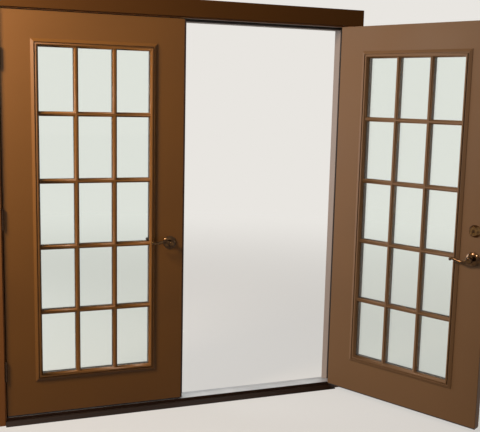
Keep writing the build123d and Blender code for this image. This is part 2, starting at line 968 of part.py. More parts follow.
def flush_slot(end, far):
    """The slot that the thumb slide moves in, as deep as from the bolt's axis to far."""
    middle = flush_slot_centre(end)
    return block(
        bolt_x, far, leaf_middle - flush_slot_width / 2, leaf_middle + flush_slot_width / 2,
        middle - flush_slot_length / 2, middle + flush_slot_length / 2,
    )


def make_flush_plates():
    """Face plates of the two flush bolts, each with a slot for its thumb slide."""
    plates = []
    for end in (-1, 1):
        low, high = flush_ends(end)
        half = flush_plate_width / 2
        face = astragal_edge + flush_plate_metal
        plate = block(astragal_edge, face, leaf_middle - half, leaf_middle + half, low, high)
        plates.append(plate - flush_slot(end, face))
    return plates


def make_flush_bolt(end):
    """A flush bolt's rod with its thumb slide, drawn back so that the leaf can swing."""
    tip = leaf_end(end) - end * flush_bolt_recess
    tail = tip - end * flush_bolt_length
    bolt = rod(flush_bolt_radius, (bolt_x, leaf_middle, tail), (bolt_x, leaf_middle, tip))
    start = flush_slot_centre(end) - end * flush_bolt_throw / 2
    return bolt + block(
        bolt_x, astragal_web_end - flush_thumb_recess,
        leaf_middle - flush_thumb_width / 2, leaf_middle + flush_thumb_width / 2,
        start - flush_thumb_length / 2, start + flush_thumb_length / 2,
    )


def flush_bolt_space(end):
    """The bore in the held leaf for a flush bolt, and the slot out of the leaf's edge."""
    limit = leaf_end(end)
    tail = limit - end * (flush_bolt_recess + flush_bolt_length + flush_bolt_bore_clearance)
    bore = rod(
        flush_bolt_radius + flush_bolt_bore_clearance,
        (bolt_x, leaf_middle, tail), (bolt_x, leaf_middle, limit),
    )
    return bore + flush_slot(end, astragal_edge)


def make_head_strike():
    """The plate let into the head over the upper flush bolt."""
    plate = block(
        bolt_x - strike_plate_width / 2, bolt_x + strike_plate_width / 2,
        leaf_middle - strike_plate_length / 2, leaf_middle + strike_plate_length / 2,
        head_rebate, head_rebate + strike_plate_metal,
    )
    return plate - rod(
        bolt_hole_radius, (bolt_x, leaf_middle, head_rebate),
        (bolt_x, leaf_middle, head_rebate + strike_plate_metal),
    )


# Locks of the working leaf, and the pockets that they shoot into


def strike_holes():
    """Height, half width and half height of each hole in the meeting edge."""
    latch = latch_radius + strike_pocket_margin
    return [
        (lever_z, latch, latch),
        (deadbolt_z, bolt_width / 2 + strike_pocket_margin, bolt_height / 2 + strike_pocket_margin),
    ]


def strike_hole(z, half_width, half_height, x0, x1):
    """A rectangular hole in the held leaf's edge, from x0 to x1."""
    return block(
        x0, x1, leaf_middle - half_width, leaf_middle + half_width, z - half_height, z + half_height,
    )


def strike_body(z):
    """The outline of a strike plate, let into the astragal's web."""
    plate = block(
        astragal_web_end - strike_plate_metal, astragal_web_end,
        leaf_middle - strike_width / 2, leaf_middle + strike_width / 2,
        z - strike_length / 2, z + strike_length / 2,
    )
    return fillet(plate.edges().filter_by(Axis.X), face_plate_radius)


def make_strikes():
    """The latch's and the deadbolt's strike plates."""
    strikes = []
    for z, half_width, half_height in strike_holes():
        hole = strike_hole(z, half_width, half_height, astragal_edge, astragal_web_end)
        strikes.append(strike_body(z) - hole)
    return strikes


def make_left_slab():
    """The held leaf, with pockets for the flush bolts and for the other leaf's bolts."""
    slab = mirrored(make_slab())
    for end in (-1, 1):
        slab -= flush_bolt_space(end)
    throws = (latch_throw, bolt_throw)
    for (z, half_width, half_height), throw in zip(strike_holes(), throws):
        depth = throw + strike_pocket_end
        slab -= strike_hole(z, half_width, half_height, astragal_edge - depth, astragal_edge)
    return slab


def lock_bores():
    """Cross bore, edge bore and face plate mortise, at both lock heights."""
    cuts = []
    for z in (lever_z, deadbolt_z):
        cuts.append(rod(cross_bore_radius, (lock_x, indoor_face, z), (lock_x, leaf_outdoor, z)))
        cuts.append(rod(edge_bore_radius, (leaf_edge_meeting, leaf_middle, z), (lock_x, leaf_middle, z)))
        cuts.append(face_plate(z))
    return cuts


def face_plate(z):
    """A lock's face plate, let into the leaf's meeting edge."""
    plate = block(
        leaf_edge_meeting, leaf_edge_meeting + face_plate_metal,
        leaf_middle - face_plate_width / 2, leaf_middle + face_plate_width / 2,
        z - face_plate_height / 2, z + face_plate_height / 2,
    )
    return fillet(plate.edges().filter_by(Axis.X), face_plate_radius)


def lock_case(z, bolt_space):
    """A tubular lock case: face plate, tube and flat tail round the turning axis."""
    tube_end = lock_x - lock_tube_short_of_axis
    tail_end = lock_x + lock_tail_past_axis
    case = face_plate(z)
    case += rod(lock_tube_radius, (leaf_edge_meeting, leaf_middle, z), (tube_end, leaf_middle, z))
    case += block(
        tube_end, tail_end, leaf_middle - lock_tail_width / 2, leaf_middle + lock_tail_width / 2,
        z - lock_tail_height / 2, z + lock_tail_height / 2,
    )
    case -= rod(spindle_bore_radius, (lock_x, indoor_face, z), (lock_x, leaf_outdoor, z))
    return case - bolt_space


def latch_shape(radius, length, tip_x):
    """A round latch bolt, drawn from its tip towards the lock."""
    return rod(radius, (tip_x, leaf_middle, lever_z), (tip_x + length, leaf_middle, lever_z))


def make_latch_case():
    """The latch's case, bored deep enough for its bolt to draw back flush."""
    bore_length = latch_length + lock_bore_end
    space = latch_shape(latch_radius + lock_bore_clearance, bore_length, leaf_edge_meeting)
    return lock_case(lever_z, space)


def make_latch_bolt():
    """The sprung latch bolt, thrown, with its bevel towards the outdoors side."""
    tip = leaf_edge_meeting - latch_throw
    bolt = latch_shape(latch_radius, latch_length, tip)
    far = leaf_middle + latch_radius
    bevel = upright(
        [
            (tip, leaf_middle - latch_bevel_start),
            (tip, far),
            (leaf_edge_meeting - latch_bevel_land, far),
        ],
        lever_z - latch_radius,
        lever_z + latch_radius,
    )
    return bolt - bevel


def deadbolt_shape(grow, length, tip_x):
    """The deadbolt's rounded bar."""
    half_width = bolt_width / 2 + grow
    half_height = bolt_height / 2 + grow
    bar = block(
        tip_x, tip_x + length, leaf_middle - half_width, leaf_middle + half_width,
        deadbolt_z - half_height, deadbolt_z + half_height,
    )
    return fillet(bar.edges().filter_by(Axis.X), bolt_rounding)


def make_deadbolt_case():
    """The deadbolt's case, with a slot for its bar."""
    bore_length = bolt_tip_recess + bolt_length + lock_bore_end
    space = deadbolt_shape(lock_bore_clearance, bore_length, leaf_edge_meeting)
    return lock_case(deadbolt_z, space)


def make_deadbolt_bar():
    """The deadbolt, drawn back flush."""
    return deadbolt_shape(0, bolt_length, leaf_edge_meeting + bolt_tip_recess)


def make_right_slab():
    """The working leaf, bored for its locks."""
    slab = make_slab()
    for cut in lock_bores():
        slab -= cut
    return slab


# Trim of the locks


def rose_shape(radius, depth, bore):
    """A round rose with a domed face, its back at z = 0."""
    middle = ((radius + bore) / 2, rose_rim + (depth - rose_rim) * rose_dome_share)
    outline = Polyline((bore, depth), (bore, 0), (radius, 0), (radius, rose_rim))
    dome = ThreePointArc((radius, rose_rim), middle, (bore, depth))
    return revolve(Plane.XZ * make_face(outline + dome), Axis.Z)


def face_frame(side, x, z):
    """Working plane on a leaf's face: side -1 is indoors, +1 outdoors. Its z points out."""
    y = indoor_face if side < 0 else leaf_outdoor
    return Plane(origin=(x, y, z), x_dir=(1, 0, 0), z_dir=(0, side, 0))


def make_lever_roses():
    """Roses of one leaf's lever set, indoors and outdoors."""
    shape = rose_shape(rose_radius, rose_thickness, neck_radius + neck_clearance)
    rose = face_frame(-1, lock_x, lever_z) * shape
    return [rose, turned_over(rose)]


def lever_stations():
    """Places along the lever's wave, with its height and thickness there.

    Each place is (towards the hinge, up, out from the leaf).
    """
    out = lever_stand_off
    tip = out - lever_in_at_tip
    root = (lever_root_height, lever_root_thickness)
    waist = (lever_waist_height, lever_waist_thickness)
    crest = (lever_crest_height, lever_waist_thickness)
    end = (lever_tip_height, lever_tip_thickness)
    shoulder = -lever_dip * lever_shoulder_of_dip
    rise = -lever_dip * lever_rise_of_dip
    slope = -lever_crest * lever_slope_of_crest
    bend = -lever_hook * lever_bend_of_hook
    return [
        ((0, 0, lever_root_out), *root),
        ((lever_reach * lever_shoulder_at, shoulder, out - lever_bow), *root),
        ((lever_reach * lever_trough_at, -lever_dip, out + lever_bow), *waist),
        ((lever_reach * lever_rise_at, rise, out), *waist),
        ((lever_reach * lever_slope_at, slope, out - lever_bow), *crest),
        ((lever_reach * lever_crest_at, -lever_crest, out - lever_crest_in), *crest),
        ((lever_reach * lever_bend_at, bend, tip + lever_bow), *waist),
        ((lever_reach, -lever_hook, tip), *end),
    ]


def make_lever():
    """The right leaf's indoor lever: a round neck, a domed hub and a flattened, waving handle."""
    stations = lever_stations()
    last = len(stations) - 1
    sections = []
    for i, (place, height, thickness) in enumerate(stations):
        before = Vector(*stations[max(i - 1, 0)][0])
        after = Vector(*stations[min(i + 1, last)][0])
        plane = Plane(origin=place, x_dir=(0, 1, 0), z_dir=after - before)
        sections.append(plane * Ellipse(height / 2, thickness / 2))
    neck = Cylinder(neck_radius, lever_root_out, align=(Align.CENTER, Align.CENTER, Align.MIN))
    hub = Pos(0, 0, hub_start) * Cylinder(
        hub_radius, hub_depth, align=(Align.CENTER, Align.CENTER, Align.MIN)
    )
    back = hub.edges().filter_by(GeomType.CIRCLE).sort_by(Axis.Z)[0]
    hub = fillet(back, hub_back_rounding)
    front = hub.edges().filter_by(GeomType.CIRCLE).sort_by(Axis.Z)[-1]
    hub = fillet(front, hub_front_rounding)
    return face_frame(-1, lock_x, lever_z) * (neck + hub + loft(sections))


def make_outer_lever(inner_lever):
    """The outdoor lever with the square spindle that both levers turn on."""
    spindle = block(
        lock_x - spindle_side / 2, lock_x + spindle_side / 2, indoor_face, leaf_outdoor,
        lever_z - spindle_side / 2, lever_z + spindle_side / 2,
    )
    return turned_over(inner_lever) + spindle


def make_deadbolt_collar():
    """The outdoor collar of the deadbolt, bored for its key plug."""
    outline = Polyline(
        (plug_radius + plug_clearance, 0),
        (collar_radius, 0),
        (collar_radius, rose_rim),
        (collar_face_radius, collar_depth),
        (plug_radius + plug_clearance, collar_depth),
        close=True,
    )
    collar = revolve(Plane.XZ * make_face(outline), Axis.Z)
    return face_frame(1, lock_x, deadbolt_z) * collar


def make_key_plug():
    """The key plug with its keyway."""
    base = face_frame(1, lock_x, deadbolt_z)
    front = collar_depth + plug_proud
    plug = Pos(0, 0, front - plug_length) * Cylinder(
        plug_radius, plug_length, align=(Align.CENTER, Align.CENTER, Align.MIN)
    )
    slot = Pos(0, 0, front - key_slot_depth / 2) * Box(key_slot_width, key_slot_height, key_slot_depth)
    return base * (plug - slot)


def make_turn_rose():
    """The indoor rose of the deadbolt."""
    shape = rose_shape(turn_rose_radius, turn_rose_depth, turn_hub_radius + neck_clearance)
    return face_frame(-1, lock_x, deadbolt_z) * shape


def make_thumbturn():
    """The indoor thumb turn with its tail bar into the lock."""
    base = face_frame(-1, lock_x, deadbolt_z)
    hub = Cylinder(turn_hub_radius, turn_stand_off, align=(Align.CENTER, Align.CENTER, Align.MIN))
    blade = Pos(0, 0, turn_stand_off - turn_blade_seat) * Box(
        turn_blade_thickness, turn_blade_length, turn_blade_height,
        align=(Align.CENTER, Align.CENTER, Align.MIN),
    )
    blade = fillet(blade.edges().filter_by(Axis.X), turn_blade_rounding)
    blade = chamfer(blade.faces().sort_by(Axis.Z)[-1].edges(), turn_blade_arris)
    tail_length = leaf_thickness / 2 + lock_tail_width
    tail = Pos(0, 0, -tail_length / 2) * Box(tail_bar_thickness, tail_bar_width, tail_length)
    return base * (hub + blade + tail)


# Writing the pieces out


def save(name, shapes):
    """Write one node, from one shape or a list of separate ones."""
    group = shapes if isinstance(shapes, list) else [shapes]
    solids = [solid for shape in group for solid in shape.solids()]
    body = solids[0] if len(solids) == 1 else Compound(children=solids)
    body.label = name
    export_step(body, f"parts/{name}.step")


def save_frame():
    """The frame, which stays still."""
    head = make_head_jamb()
    screws = make_hinge_screws(rebate_face, 1)
    jamb = make_right_jamb(head, screws)
    save("head_jamb", head)
    save("right_jamb", jamb)
    save("left_jamb", mirrored(jamb))
    save("head_bolt_strike", make_head_strike())
    save("sill_base", make_sill_base() - bolt_hole(sill_floor_of_bolt_hole))
    save("sill_tread", make_sill_tread())
    save("sill_cap", make_sill_cap())
    save("floor_nosing", make_floor_nosing())
    casing = make_side_casing()
    save("right_casing", casing)
    save("left_casing", mirrored(casing))
    save("head_casing", make_head_casing())
    mould = make_side_mould()
    save("right_brick_mould", mould)
    save("left_brick_mould", mirrored(mould))
    save("head_brick_mould", make_head_mould())
    strip = make_side_strip()
    save("right_weatherstrip", strip)
    save("left_weatherstrip", mirrored(strip))
    save("head_weatherstrip", make_head_strip())
    halves = make_jamb_hinge_halves()
    pins = make_hinge_pins()
    save("right_jamb_hinge_halves", halves)
    save("left_jamb_hinge_halves", [mirrored(half) for half in halves])
    save("right_hinge_pins", pins)
    save("left_hinge_pins", [mirrored(pin) for pin in pins])
    save("jamb_hinge_screws", screws + [mirrored(piece) for piece in screws])


def save_left_leaf(shared, sweep, lever):
    """The held leaf, shut. Its levers are fixed."""
    for name, shapes in shared.items():
        save(f"left_{name}", [mirrored(shape) for shape in shapes])
    foot = (bolt_x, leaf_middle, sill_cap_height)
    save("left_sweep", mirrored(sweep) - rod(bolt_hole_radius, foot, (bolt_x, leaf_middle, leaf_bottom)))
    save("left_slab", make_left_slab())
    save("astragal", make_astragal())
    save("astragal_seal", make_astragal_seal())
    save("flush_bolt_plates", make_flush_plates())
    save("strike_plates", make_strikes())
    save("top_flush_bolt", make_flush_bolt(1))
    save("bottom_flush_bolt", make_flush_bolt(-1))
    fixed_lever = mirrored(upended(lever))
    save("left_inner_lever", fixed_lever)
    save("left_outer_lever", turned_over(fixed_lever))


def save_right_leaf(shared, sweep, lever):
    """The working leaf, open into the room."""
    for name, shapes in shared.items():
        save(f"right_{name}", [opened(shape) for shape in shapes])
    save("right_sweep", opened(sweep))
    save("right_slab", opened(make_right_slab()))
    save("latch_case", opened(make_latch_case()))
    save("latch_bolt", opened(make_latch_bolt()))
    save("deadbolt_case", opened(make_deadbolt_case()))
    save("deadbolt_bar", opened(make_deadbolt_bar()))
    save("deadbolt_collar", opened(make_deadbolt_collar()))
    save("key_plug", opened(make_key_plug()))
    save("thumb_turn_rose", opened(make_turn_rose()))
    save("thumb_turn", opened(make_thumbturn()))
    save("right_inner_lever", opened(lever))
    save("right_outer_lever", opened(make_outer_lever(lever)))


def main():
    """Build every piece and write it."""
    os.makedirs("parts", exist_ok=True)
    lite_frame = make_lite_frame()
    sweep = make_sweep()
    lever = make_lever()
    shared = {
        "inner_lite_frame": [lite_frame],
        "outer_lite_frame": [turned_over(lite_frame)],
        "glass_panes": make_glass_panes(),
        "glass_spacer": [make_glass_spacer()],
        "glazing_tape": make_lite_tape(),
        "leaf_hinge_halves": make_leaf_hinge_halves(),
        "leaf_hinge_screws": make_hinge_screws(leaf_edge_hinge, -1),
        "lever_roses": make_lever_roses(),
    }
    save_frame()
    save_left_leaf(shared, sweep, lever)
    save_right_leaf(shared, sweep, lever)


main()
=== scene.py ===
"""French doors: the finished surfaces of a pair of glazed doors in their frame.

Each group of pieces is an operator: it takes the bare solids of the frame, eases their edges,
adds what a joiner or a locksmith would see on them, and gives them their finish.
"""
import json
from math import pi, radians

import bmesh
import bpy
from mathutils import Matrix, Vector


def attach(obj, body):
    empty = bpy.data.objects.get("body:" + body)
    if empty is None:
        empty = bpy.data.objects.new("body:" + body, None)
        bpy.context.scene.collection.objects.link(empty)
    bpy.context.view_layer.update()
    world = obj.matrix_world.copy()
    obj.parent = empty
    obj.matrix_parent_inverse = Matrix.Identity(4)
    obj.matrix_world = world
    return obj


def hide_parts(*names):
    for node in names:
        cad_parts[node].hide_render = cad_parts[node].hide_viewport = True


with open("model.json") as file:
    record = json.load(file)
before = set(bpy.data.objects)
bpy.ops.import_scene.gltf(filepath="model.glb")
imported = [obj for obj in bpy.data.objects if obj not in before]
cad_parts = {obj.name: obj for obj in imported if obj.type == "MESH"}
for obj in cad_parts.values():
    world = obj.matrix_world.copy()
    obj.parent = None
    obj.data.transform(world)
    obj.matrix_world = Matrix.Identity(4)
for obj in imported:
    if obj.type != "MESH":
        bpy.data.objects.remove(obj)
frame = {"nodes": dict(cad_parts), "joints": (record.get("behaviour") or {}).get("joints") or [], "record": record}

bl_info = {
    "name": "French doors",
    "version": (1, 0, 0),
    "blender": (4, 5, 0),
    "location": "View3D > Sidebar > Doors",
    "description": "Finishes a pair of glazed doors in their frame",
    "category": "Object",
}

NODES = frame["nodes"]
BODY_OF = {
    node: body
    for body, nodes in frame["record"]["behaviour"]["bodies"].items()
    for node in nodes
}
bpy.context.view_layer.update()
MM = 0.001

INDOORS = Vector((0, -1, 0))
OUTDOORS = Vector((0, 1, 0))
UP = Vector((0, 0, 1))

# How the right leaf stands open on its hinge pins, and the way back to shut
SWING = next(joint for joint in frame["joints"] if joint["name"] == "right_leaf_swing")
PIN = Vector(SWING["pos_m"])
OPEN_ANGLE = radians(-SWING["range_deg"][0])
OPENED = (
    Matrix.Translation(PIN) @ Matrix.Rotation(OPEN_ANGLE, 4, "Z") @ Matrix.Translation(-PIN)
)
SHUT = OPENED.inverted()


def linear(code):
    """An sRGB hex colour as linear red, green, blue and alpha."""
    channels = [int(code[i:i + 2], 16) / 255 for i in (1, 3, 5)]
    return [c / 12.92 if c <= 0.04045 else ((c + 0.055) / 1.055) ** 2.4 for c in channels] + [1.0]


def shade(color, factor):
    """A linear colour made lighter or darker."""
    return [min(1.0, channel * factor) for channel in color[:3]] + [1.0]


# What a user can change


class FrenchDoorColors(bpy.types.PropertyGroup):
    """Colours of the doors' finishes."""

    # The leaves' real paint is pale; these two enamels are painted shade on it, a warm brown indoors and a cooler,
    # less orange brown outdoors where light from outdoors falls
    indoor_shaded_paint: bpy.props.FloatVectorProperty(
        name="Indoor paint", description="Enamel on the leaves' indoor faces",
        subtype="COLOR", size=4, min=0, max=1, default=linear("#6F4819"),
    )
    outdoor_shaded_paint: bpy.props.FloatVectorProperty(
        name="Outdoor paint", description="Enamel on the leaves' outdoor faces",
        subtype="COLOR", size=4, min=0, max=1, default=linear("#6A4D2F"),
    )
    # A sunlit copy of the doors' pale paint: painted light on the jambs' faces in the rebate and outdoors, and on
    # the brick moulds
    jamb_sunlit_paint: bpy.props.FloatVectorProperty(
        name="Jamb paint", description="Pale enamel on the jambs, head and brick mould",
        subtype="COLOR", size=4, min=0, max=1, default=linear("#807267"),
    )
    # A shaded copy of the doors' pale paint: painted shade in brown on the casings
    casing_shaded_paint: bpy.props.FloatVectorProperty(
        name="Casing paint", description="Enamel on the flat boards indoors",
        subtype="COLOR", size=4, min=0, max=1, default=linear("#7C4C1E"),
    )
    # A darker shaded copy of the casing paint: painted shade on the board over the doors
    head_board_shaded_paint: bpy.props.FloatVectorProperty(
        name="Head board paint", description="Darker enamel on the board over the doors",
        subtype="COLOR", size=4, min=0, max=1, default=linear("#50300C"),
    )
    # The astragal is painted a very dark brown, far darker than the leaves
    astragal_paint: bpy.props.FloatVectorProperty(
        name="Astragal paint", description="Dark bronze enamel on the astragal",
        subtype="COLOR", size=4, min=0, max=1, default=linear("#2E1B10"),
    )
    oak_dark: bpy.props.FloatVectorProperty(
        name="Oak, dark", description="Dark of the stained oak's grain",
        subtype="COLOR", size=4, min=0, max=1, default=linear("#100803"),
    )
    oak_light: bpy.props.FloatVectorProperty(
        name="Oak, light", description="Light of the stained oak's grain",
        subtype="COLOR", size=4, min=0, max=1, default=linear("#2A190D"),
    )
    # The levers' brass and tarnish are darker than bright brass, partly from age and partly as a painted dark
    # reflection of dim surroundings
    brass: bpy.props.FloatVectorProperty(
        name="Brass", description="The levers' brass under its lacquer",
        subtype="COLOR", size=4, min=0, max=1, default=linear("#583D1F"),
    )
    tarnish: bpy.props.FloatVectorProperty(
        name="Tarnish", description="The levers' brass where it has browned",
        subtype="COLOR", size=4, min=0, max=1, default=linear("#29170A"),
    )
    hinge_brass: bpy.props.FloatVectorProperty(
        name="Hinge brass", description="Antique brass of the hinges",
        subtype="COLOR", size=4, min=0, max=1, default=linear("#48301C"),
    )


class FrenchDoorSizes(bpy.types.PropertyGroup):
    """Sizes of the small forms that the finishing adds."""

    board_edge: bpy.props.FloatProperty(
        name="Board edges", description="Rounding of the leaves', jambs' and brick moulds' edges",
        subtype="DISTANCE", unit="LENGTH", precision=5, min=0, default=0.8 * MM,
    )
    casing_edge: bpy.props.FloatProperty(
        name="Casing edges", description="Rounding of the casings' edges",
        subtype="DISTANCE", unit="LENGTH", precision=5, min=0, default=1.0 * MM,
    )
    lite_frame_edge: bpy.props.FloatProperty(
        name="Lite frame edges", description="Rounding of the lite frames' and bars' edges",
        subtype="DISTANCE", unit="LENGTH", precision=5, min=0, default=0.4 * MM,
    )
    astragal_edge: bpy.props.FloatProperty(
        name="Astragal edges", description="Rounding of the astragal's edges",
        subtype="DISTANCE", unit="LENGTH", precision=5, min=0, default=0.6 * MM,
    )
    sill_edge: bpy.props.FloatProperty(
        name="Sill edges", description="Rounding of the sill's base and saddle",
        subtype="DISTANCE", unit="LENGTH", precision=5, min=0, default=0.5 * MM,
    )
    nosing_edge: bpy.props.FloatProperty(
        name="Nosing edges", description="Rounding of the oak nosing",
        subtype="DISTANCE", unit="LENGTH", precision=5, min=0, default=1.2 * MM,
    )
    metal_edge: bpy.props.FloatProperty(
        name="Metal edges", description="Rounding of the tread, the bolts and the head strike",
        subtype="DISTANCE", unit="LENGTH", precision=5, min=0, default=0.3 * MM,
    )
    hinge_edge: bpy.props.FloatProperty(
        name="Hinge edges", description="Rounding of the hinge leaves and knuckles",
        subtype="DISTANCE", unit="LENGTH", precision=5, min=0, default=0.25 * MM,
    )
    rose_edge: bpy.props.FloatProperty(
        name="Rose edges", description="Rounding of the deadbolt's collar and rose",
        subtype="DISTANCE", unit="LENGTH", precision=5, min=0, default=0.7 * MM,
    )
    plate_screw_radius: bpy.props.FloatProperty(
        name="Plate screw radius", description="Radius of a plate screw's head",
        subtype="DISTANCE", unit="LENGTH", precision=5, min=0, default=3.2 * MM,
    )
    hinge_screw_radius: bpy.props.FloatProperty(
        name="Hinge screw radius", description="Radius of a hinge screw's head",
        subtype="DISTANCE", unit="LENGTH", precision=5, min=0, default=4.2 * MM,
    )
    recess_width: bpy.props.FloatProperty(
        name="Recess width", description="Width of a slot of a screw's cross recess",
        subtype="DISTANCE", unit="LENGTH", precision=5, min=0, default=1.1 * MM,
    )
    recess_depth: bpy.props.FloatProperty(
        name="Recess depth", description="Depth of a screw's cross recess",
        subtype="DISTANCE", unit="LENGTH", precision=5, min=0, default=1.4 * MM,
    )
    strike_reach: bpy.props.FloatProperty(
        name="Strike screws", description="From a strike plate's middle to each of its screws",
        subtype="DISTANCE", unit="LENGTH", precision=5, min=0, default=28 * MM,
    )
    bolt_plate_reach: bpy.props.FloatProperty(
        name="Flush bolt screws", description="From a flush bolt plate's middle to its screws",
        subtype="DISTANCE", unit="LENGTH", precision=5, min=0, default=58 * MM,
    )
    face_plate_reach: bpy.props.FloatProperty(
        name="Face plate screws", description="From a lock face plate's middle to its screws",
        subtype="DISTANCE", unit="LENGTH", precision=5, min=0, default=21 * MM,
    )


class FrenchDoorStage(bpy.types.PropertyGroup):
    """Where the doors are looked at from."""

    camera_place: bpy.props.FloatVectorProperty(
        name="Camera", description="Where the camera stands", subtype="TRANSLATION",
        unit="LENGTH", default=(-1.1233, -3.9748, 1.6705),
    )
    pan: bpy.props.FloatProperty(
        name="Pan", description="How far the camera looks to the right",
        subtype="ANGLE", unit="ROTATION", default=radians(20.19),
    )
    tilt: bpy.props.FloatProperty(
        name="Tilt", description="How far the camera looks down",
        subtype="ANGLE", unit="ROTATION", default=radians(8.67),
    )
    roll: bpy.props.FloatProperty(
        name="Roll", description="How far the camera leans to the left",
        subtype="ANGLE", unit="ROTATION", default=radians(1.32),
    )
    lens: bpy.props.FloatProperty(
        name="Lens", description="Focal length for a sensor 36 mm wide",
        subtype="DISTANCE_CAMERA", unit="CAMERA", default=58.49,
    )


# Materials

# A Mix node's sockets for colours
FIRST_COLOR = 6
SECOND_COLOR = 7
MIXED_COLOR = 2

# Nearly all of a noise lies between these, so they are spread over a colour's or roughness's range
NOISE_RANGE = {"From Min": 0.3, "From Max": 0.7}

# Enamel, varnish, resin and vinyl bend light about alike
RESIN_IOR = 1.5
GLASS_IOR = 1.52


def add_node(tree, kind, inputs=None, **settings):
    """Add a node with its settings. An input is a plain value, or another node's output."""
    node = tree.nodes.new(kind)
    for name, value in settings.items():
        setattr(node, name, value)
    for socket, value in (inputs or {}).items():
        if isinstance(value, bpy.types.NodeSocket):
            tree.links.new(value, node.inputs[socket])
        else:
            node.inputs[socket].default_value = value
    return node


def shader_of(material):
    """The one shader of a material."""
    return material.node_tree.nodes["Principled BSDF"]


def plain_material(name, **sockets):
    """A material whose shader has these socket values."""
    material = bpy.data.materials.new(name)
    material.use_nodes = True
    for socket, value in sockets.items():
        shader_of(material).inputs[socket.replace("_", " ")].default_value = value
    return material


def pattern(material, size_mm, stretch=None, detail=2, roughness=0.5):
    """Soft noise whose blotches are about size_mm across, longer where stretch is less than 1."""
    tree = material.node_tree
    point = add_node(tree, "ShaderNodeTexCoord").outputs["Object"]
    if stretch:
        drawn = add_node(tree, "ShaderNodeMapping", {"Vector": point, "Scale": stretch})
        point = drawn.outputs["Vector"]
    noise = add_node(tree, "ShaderNodeTexNoise", {
        "Vector": point, "Scale": 1 / (size_mm * MM), "Detail": detail, "Roughness": roughness,
    })
    return noise.outputs["Fac"]


def textured(material, color=None, roughness=None, relief=None):
    """Let patterns vary a material, and give it back.

    color is a pattern and the two colours it goes between, roughness a pattern and its two ends,
    and relief a pattern, its real depth in millimetres and its strength.
    """
    tree = material.node_tree
    shader = shader_of(material)
    if color:
        value, first, second = color
        share = add_node(tree, "ShaderNodeMapRange", {"Value": value, **NOISE_RANGE})
        mixed = add_node(
            tree, "ShaderNodeMix",
            {"Factor": share.outputs["Result"], FIRST_COLOR: first, SECOND_COLOR: second},
            data_type="RGBA",
        )
        tree.links.new(mixed.outputs[MIXED_COLOR], shader.inputs["Base Color"])
    if roughness:
        value, low, high = roughness
        spread = add_node(
            tree, "ShaderNodeMapRange",
            {"Value": value, **NOISE_RANGE, "To Min": low, "To Max": high},
        )
        tree.links.new(spread.outputs["Result"], shader.inputs["Roughness"])
    if relief:
        height, depth_mm, strength = relief
        bump = add_node(
            tree, "ShaderNodeBump",
            {"Height": height, "Distance": depth_mm * MM, "Strength": strength},
        )
        tree.links.new(bump.outputs["Normal"], shader.inputs["Normal"])
    return material


def satin_enamel(name, color, roughness=0.42, reflection=0.26):
    """Satin alkyd enamel, rolled on: an even colour with a soft gloss over a faint stipple.

    The coat varies a little in patches of about 420 mm. The roller's stipple is about 1.5 mm on a
    real door, drawn at 3 mm so that it shows.
    """
    material = plain_material(name, IOR=RESIN_IOR, Specular_IOR_Level=reflection)
    patches = pattern(material, 420)
    stipple = pattern(material, 3)
    return textured(
        material,
        color=(patches, shade(color, 0.94), shade(color, 1.05)),
        roughness=(patches, roughness - 0.05, roughness + 0.06),
        relief=(stipple, 0.06, 0.35),
    )


def stained_oak(name, dark, light):
    """Dark-stained oak under satin varnish: long grain along X that shines a little, with pores.

    Grain lines are about 5 mm apart and 170 mm long, and pores 1.2 mm wide and 24 mm long.
    """
    material = plain_material(name, IOR=RESIN_IOR, Specular_IOR_Level=0.3)
    grain = pattern(material, 5, stretch=(0.03, 1, 1), detail=5, roughness=0.6)
    pores = pattern(material, 1.2, stretch=(0.05, 1, 1))
    return textured(
        material,
        color=(grain, dark, light),
        roughness=(grain, 0.42, 0.28),
        relief=(pores, 0.12, 0.5),
    )


def extruded_aluminium(name, color):
    """Extruded aluminium: fine die lines along X, dulled by feet and weather in soft stains.

    The die lines are a few tenths of a millimetre apart on a real sill, drawn at 1.5 mm so that
    they show. The stains are about 90 mm across.
    """
    material = plain_material(name, Metallic=1.0)
    die_lines = pattern(material, 1.5, stretch=(0.01, 1, 1), detail=3)
    stains = pattern(material, 90, detail=4)
    return textured(
        material,
        color=(stains, shade(color, 0.82), color),
        roughness=(die_lines, 0.38, 0.58),
        relief=(die_lines, 0.05, 0.4),
    )


def wood_composite(name, color):
    """Pressed wood fibre and resin: a matt core, speckled by fibre bundles 3 mm wide along X."""
    material = plain_material(name, Roughness=0.8, IOR=RESIN_IOR)
    fibres = pattern(material, 3, stretch=(0.3, 1, 1), detail=4)
    return textured(
        material,
        color=(fibres, shade(color, 0.7), shade(color, 1.2)),
        relief=(fibres, 0.2, 0.5),
    )


def soft_vinyl(name, color):
    """Soft vinyl over foam: dull, with dust in patches of 30 mm on a skin grained at 1 mm."""
    material = plain_material(name, Roughness=0.7, IOR=RESIN_IOR)
    dust = pattern(material, 30, detail=4)
    skin = pattern(material, 1)
    return textured(
        material,
        color=(dust, color, shade(color, 1.8)),
        relief=(skin, 0.05, 0.4),
    )


def float_glass(name, color):
    """Clear float glass: smooth, with the faint green of its thickness.

    Ripples about 260 mm apart bend what it reflects a little.
    """
    material = plain_material(
        name, Roughness=0.0, IOR=GLASS_IOR, Transmission_Weight=1.0, Base_Color=color
    )
    return textured(material, relief=(pattern(material, 260, detail=1), 0.05, 0.1))


